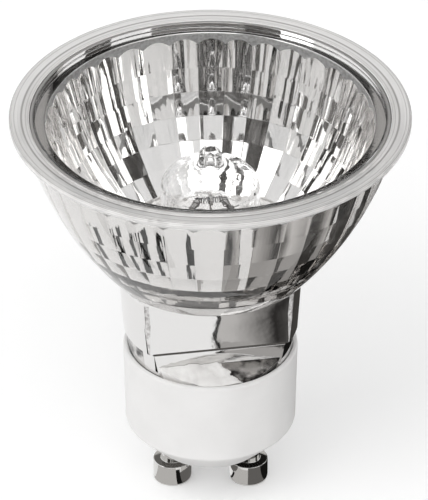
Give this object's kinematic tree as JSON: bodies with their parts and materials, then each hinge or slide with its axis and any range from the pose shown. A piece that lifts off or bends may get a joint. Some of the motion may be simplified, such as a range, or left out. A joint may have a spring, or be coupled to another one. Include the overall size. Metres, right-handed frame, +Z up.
{
  "type": "gu10 spotlight bulb",
  "caption": "Mains halogen spotlight lamp: fluted glass reflector with a flat front glass, quartz capsule, white ceramic base and headed twist-lock contact pins.",
  "frame": {"origin": "on the floor under the middle of the base, midway between the ends of the two contact pins", "axes": "+Z up along the reflector's axis, out of the front glass; X along the line of the contact pins"},
  "size_m": [0.051, 0.051, 0.0562],
  "materials": {
    "steatite": "unglazed white steatite, fine matte",
    "cement": "white lamp cement, rough",
    "reflector_glass": "pressed clear glass, aluminised on its inner face",
    "front_glass": "clear polished sheet glass",
    "silicone": "clear silicone adhesive",
    "quartz": "clear fused quartz",
    "tungsten": "drawn and coiled tungsten",
    "molybdenum": "drawn molybdenum",
    "nickel_wire": "drawn nickel",
    "nickel_plate": "bright nickel plate on brass"
  },
  "bodies": {
    "root": {"base_body": "steatite", "base_cement": "cement", "capsule_cement": "cement", "capsule_envelope": "quartz", "contact_pin_left": "nickel_plate", "contact_pin_right": "nickel_plate", "filament": "tungsten", "filament_support": "molybdenum", "front_glass": "front_glass", "front_glass_bead": "silicone", "inner_lead_left": "molybdenum", "inner_lead_right": "molybdenum", "outer_lead_left": "nickel_wire", "outer_lead_right": "nickel_wire", "reflector": "reflector_glass", "seal_foil_left": "molybdenum", "seal_foil_right": "molybdenum"}
  },
  "joints": []
}
